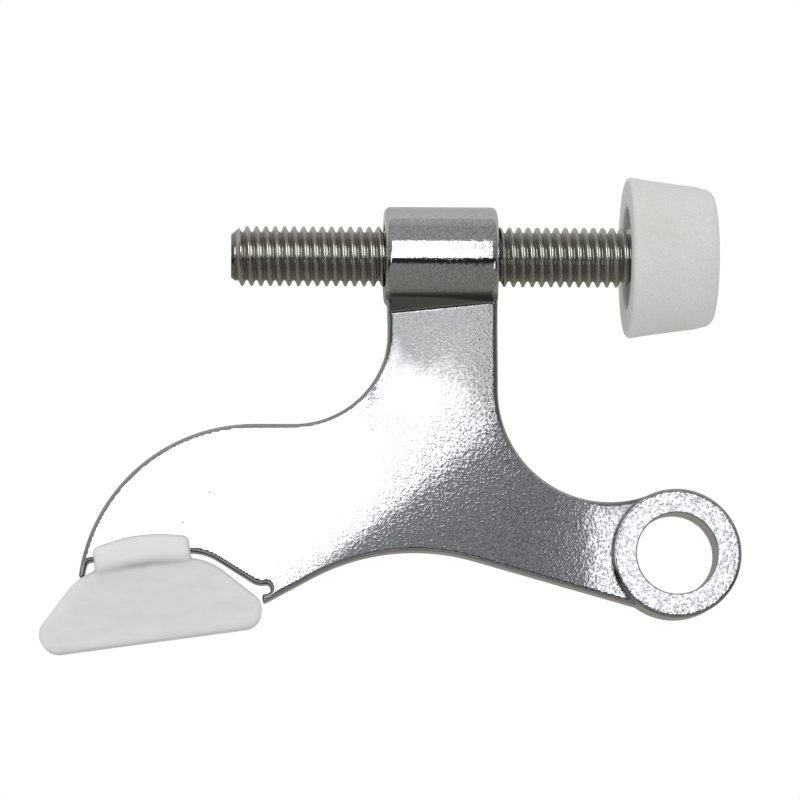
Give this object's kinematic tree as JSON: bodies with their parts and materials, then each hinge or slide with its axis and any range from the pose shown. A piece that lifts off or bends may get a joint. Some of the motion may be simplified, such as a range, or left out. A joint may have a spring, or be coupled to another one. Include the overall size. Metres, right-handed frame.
{
  "type": "hinge pin door stop",
  "caption": "Cast arm that hangs on a door's hinge pin, with a screw-adjusted bumper for the door and a clip-on pad for the door frame.",
  "frame": {"origin": "middle of the hinge-pin eye: on the pin's axis, halfway through the eye", "axes": "+Z along the hinge pin; +X along the screw, from the threaded boss towards the bumper; +Y from the eye towards the screw"},
  "size_m": [0.0924, 0.0638, 0.0216],
  "materials": {
    "chromed_zinc": "bright chrome over an as-cast, finely pitted face",
    "stainless_steel": "rolled thread, semi-bright",
    "white_elastomer": "matt, moulded",
    "milky_elastomer": "satin, milky translucent, moulded"
  },
  "bodies": {
    "frame": {"body_casting": "chromed_zinc", "frame_pad": "milky_elastomer"},
    "bumper": {"screw_bumper": "white_elastomer"},
    "screw": {"adjusting_screw": "stainless_steel"}
  },
  "joints": [
    {"name": "bumper_slide", "type": "slide", "parent": "frame", "child": "bumper", "axis": [1, 0, 0], "range_m": [-0.017, 0.02]},
    {"name": "screw_spin", "type": "hinge", "parent": "bumper", "child": "screw", "pos_m": [-0.0039, 0.03985, 0], "axis": [1, 0, 0], "range_deg": [-4890, 5755]}
  ],
  "couplings": [
    {"joint": "bumper_slide", "follows": "screw_spin", "m_per_rad": 0.00019894}
  ]
}
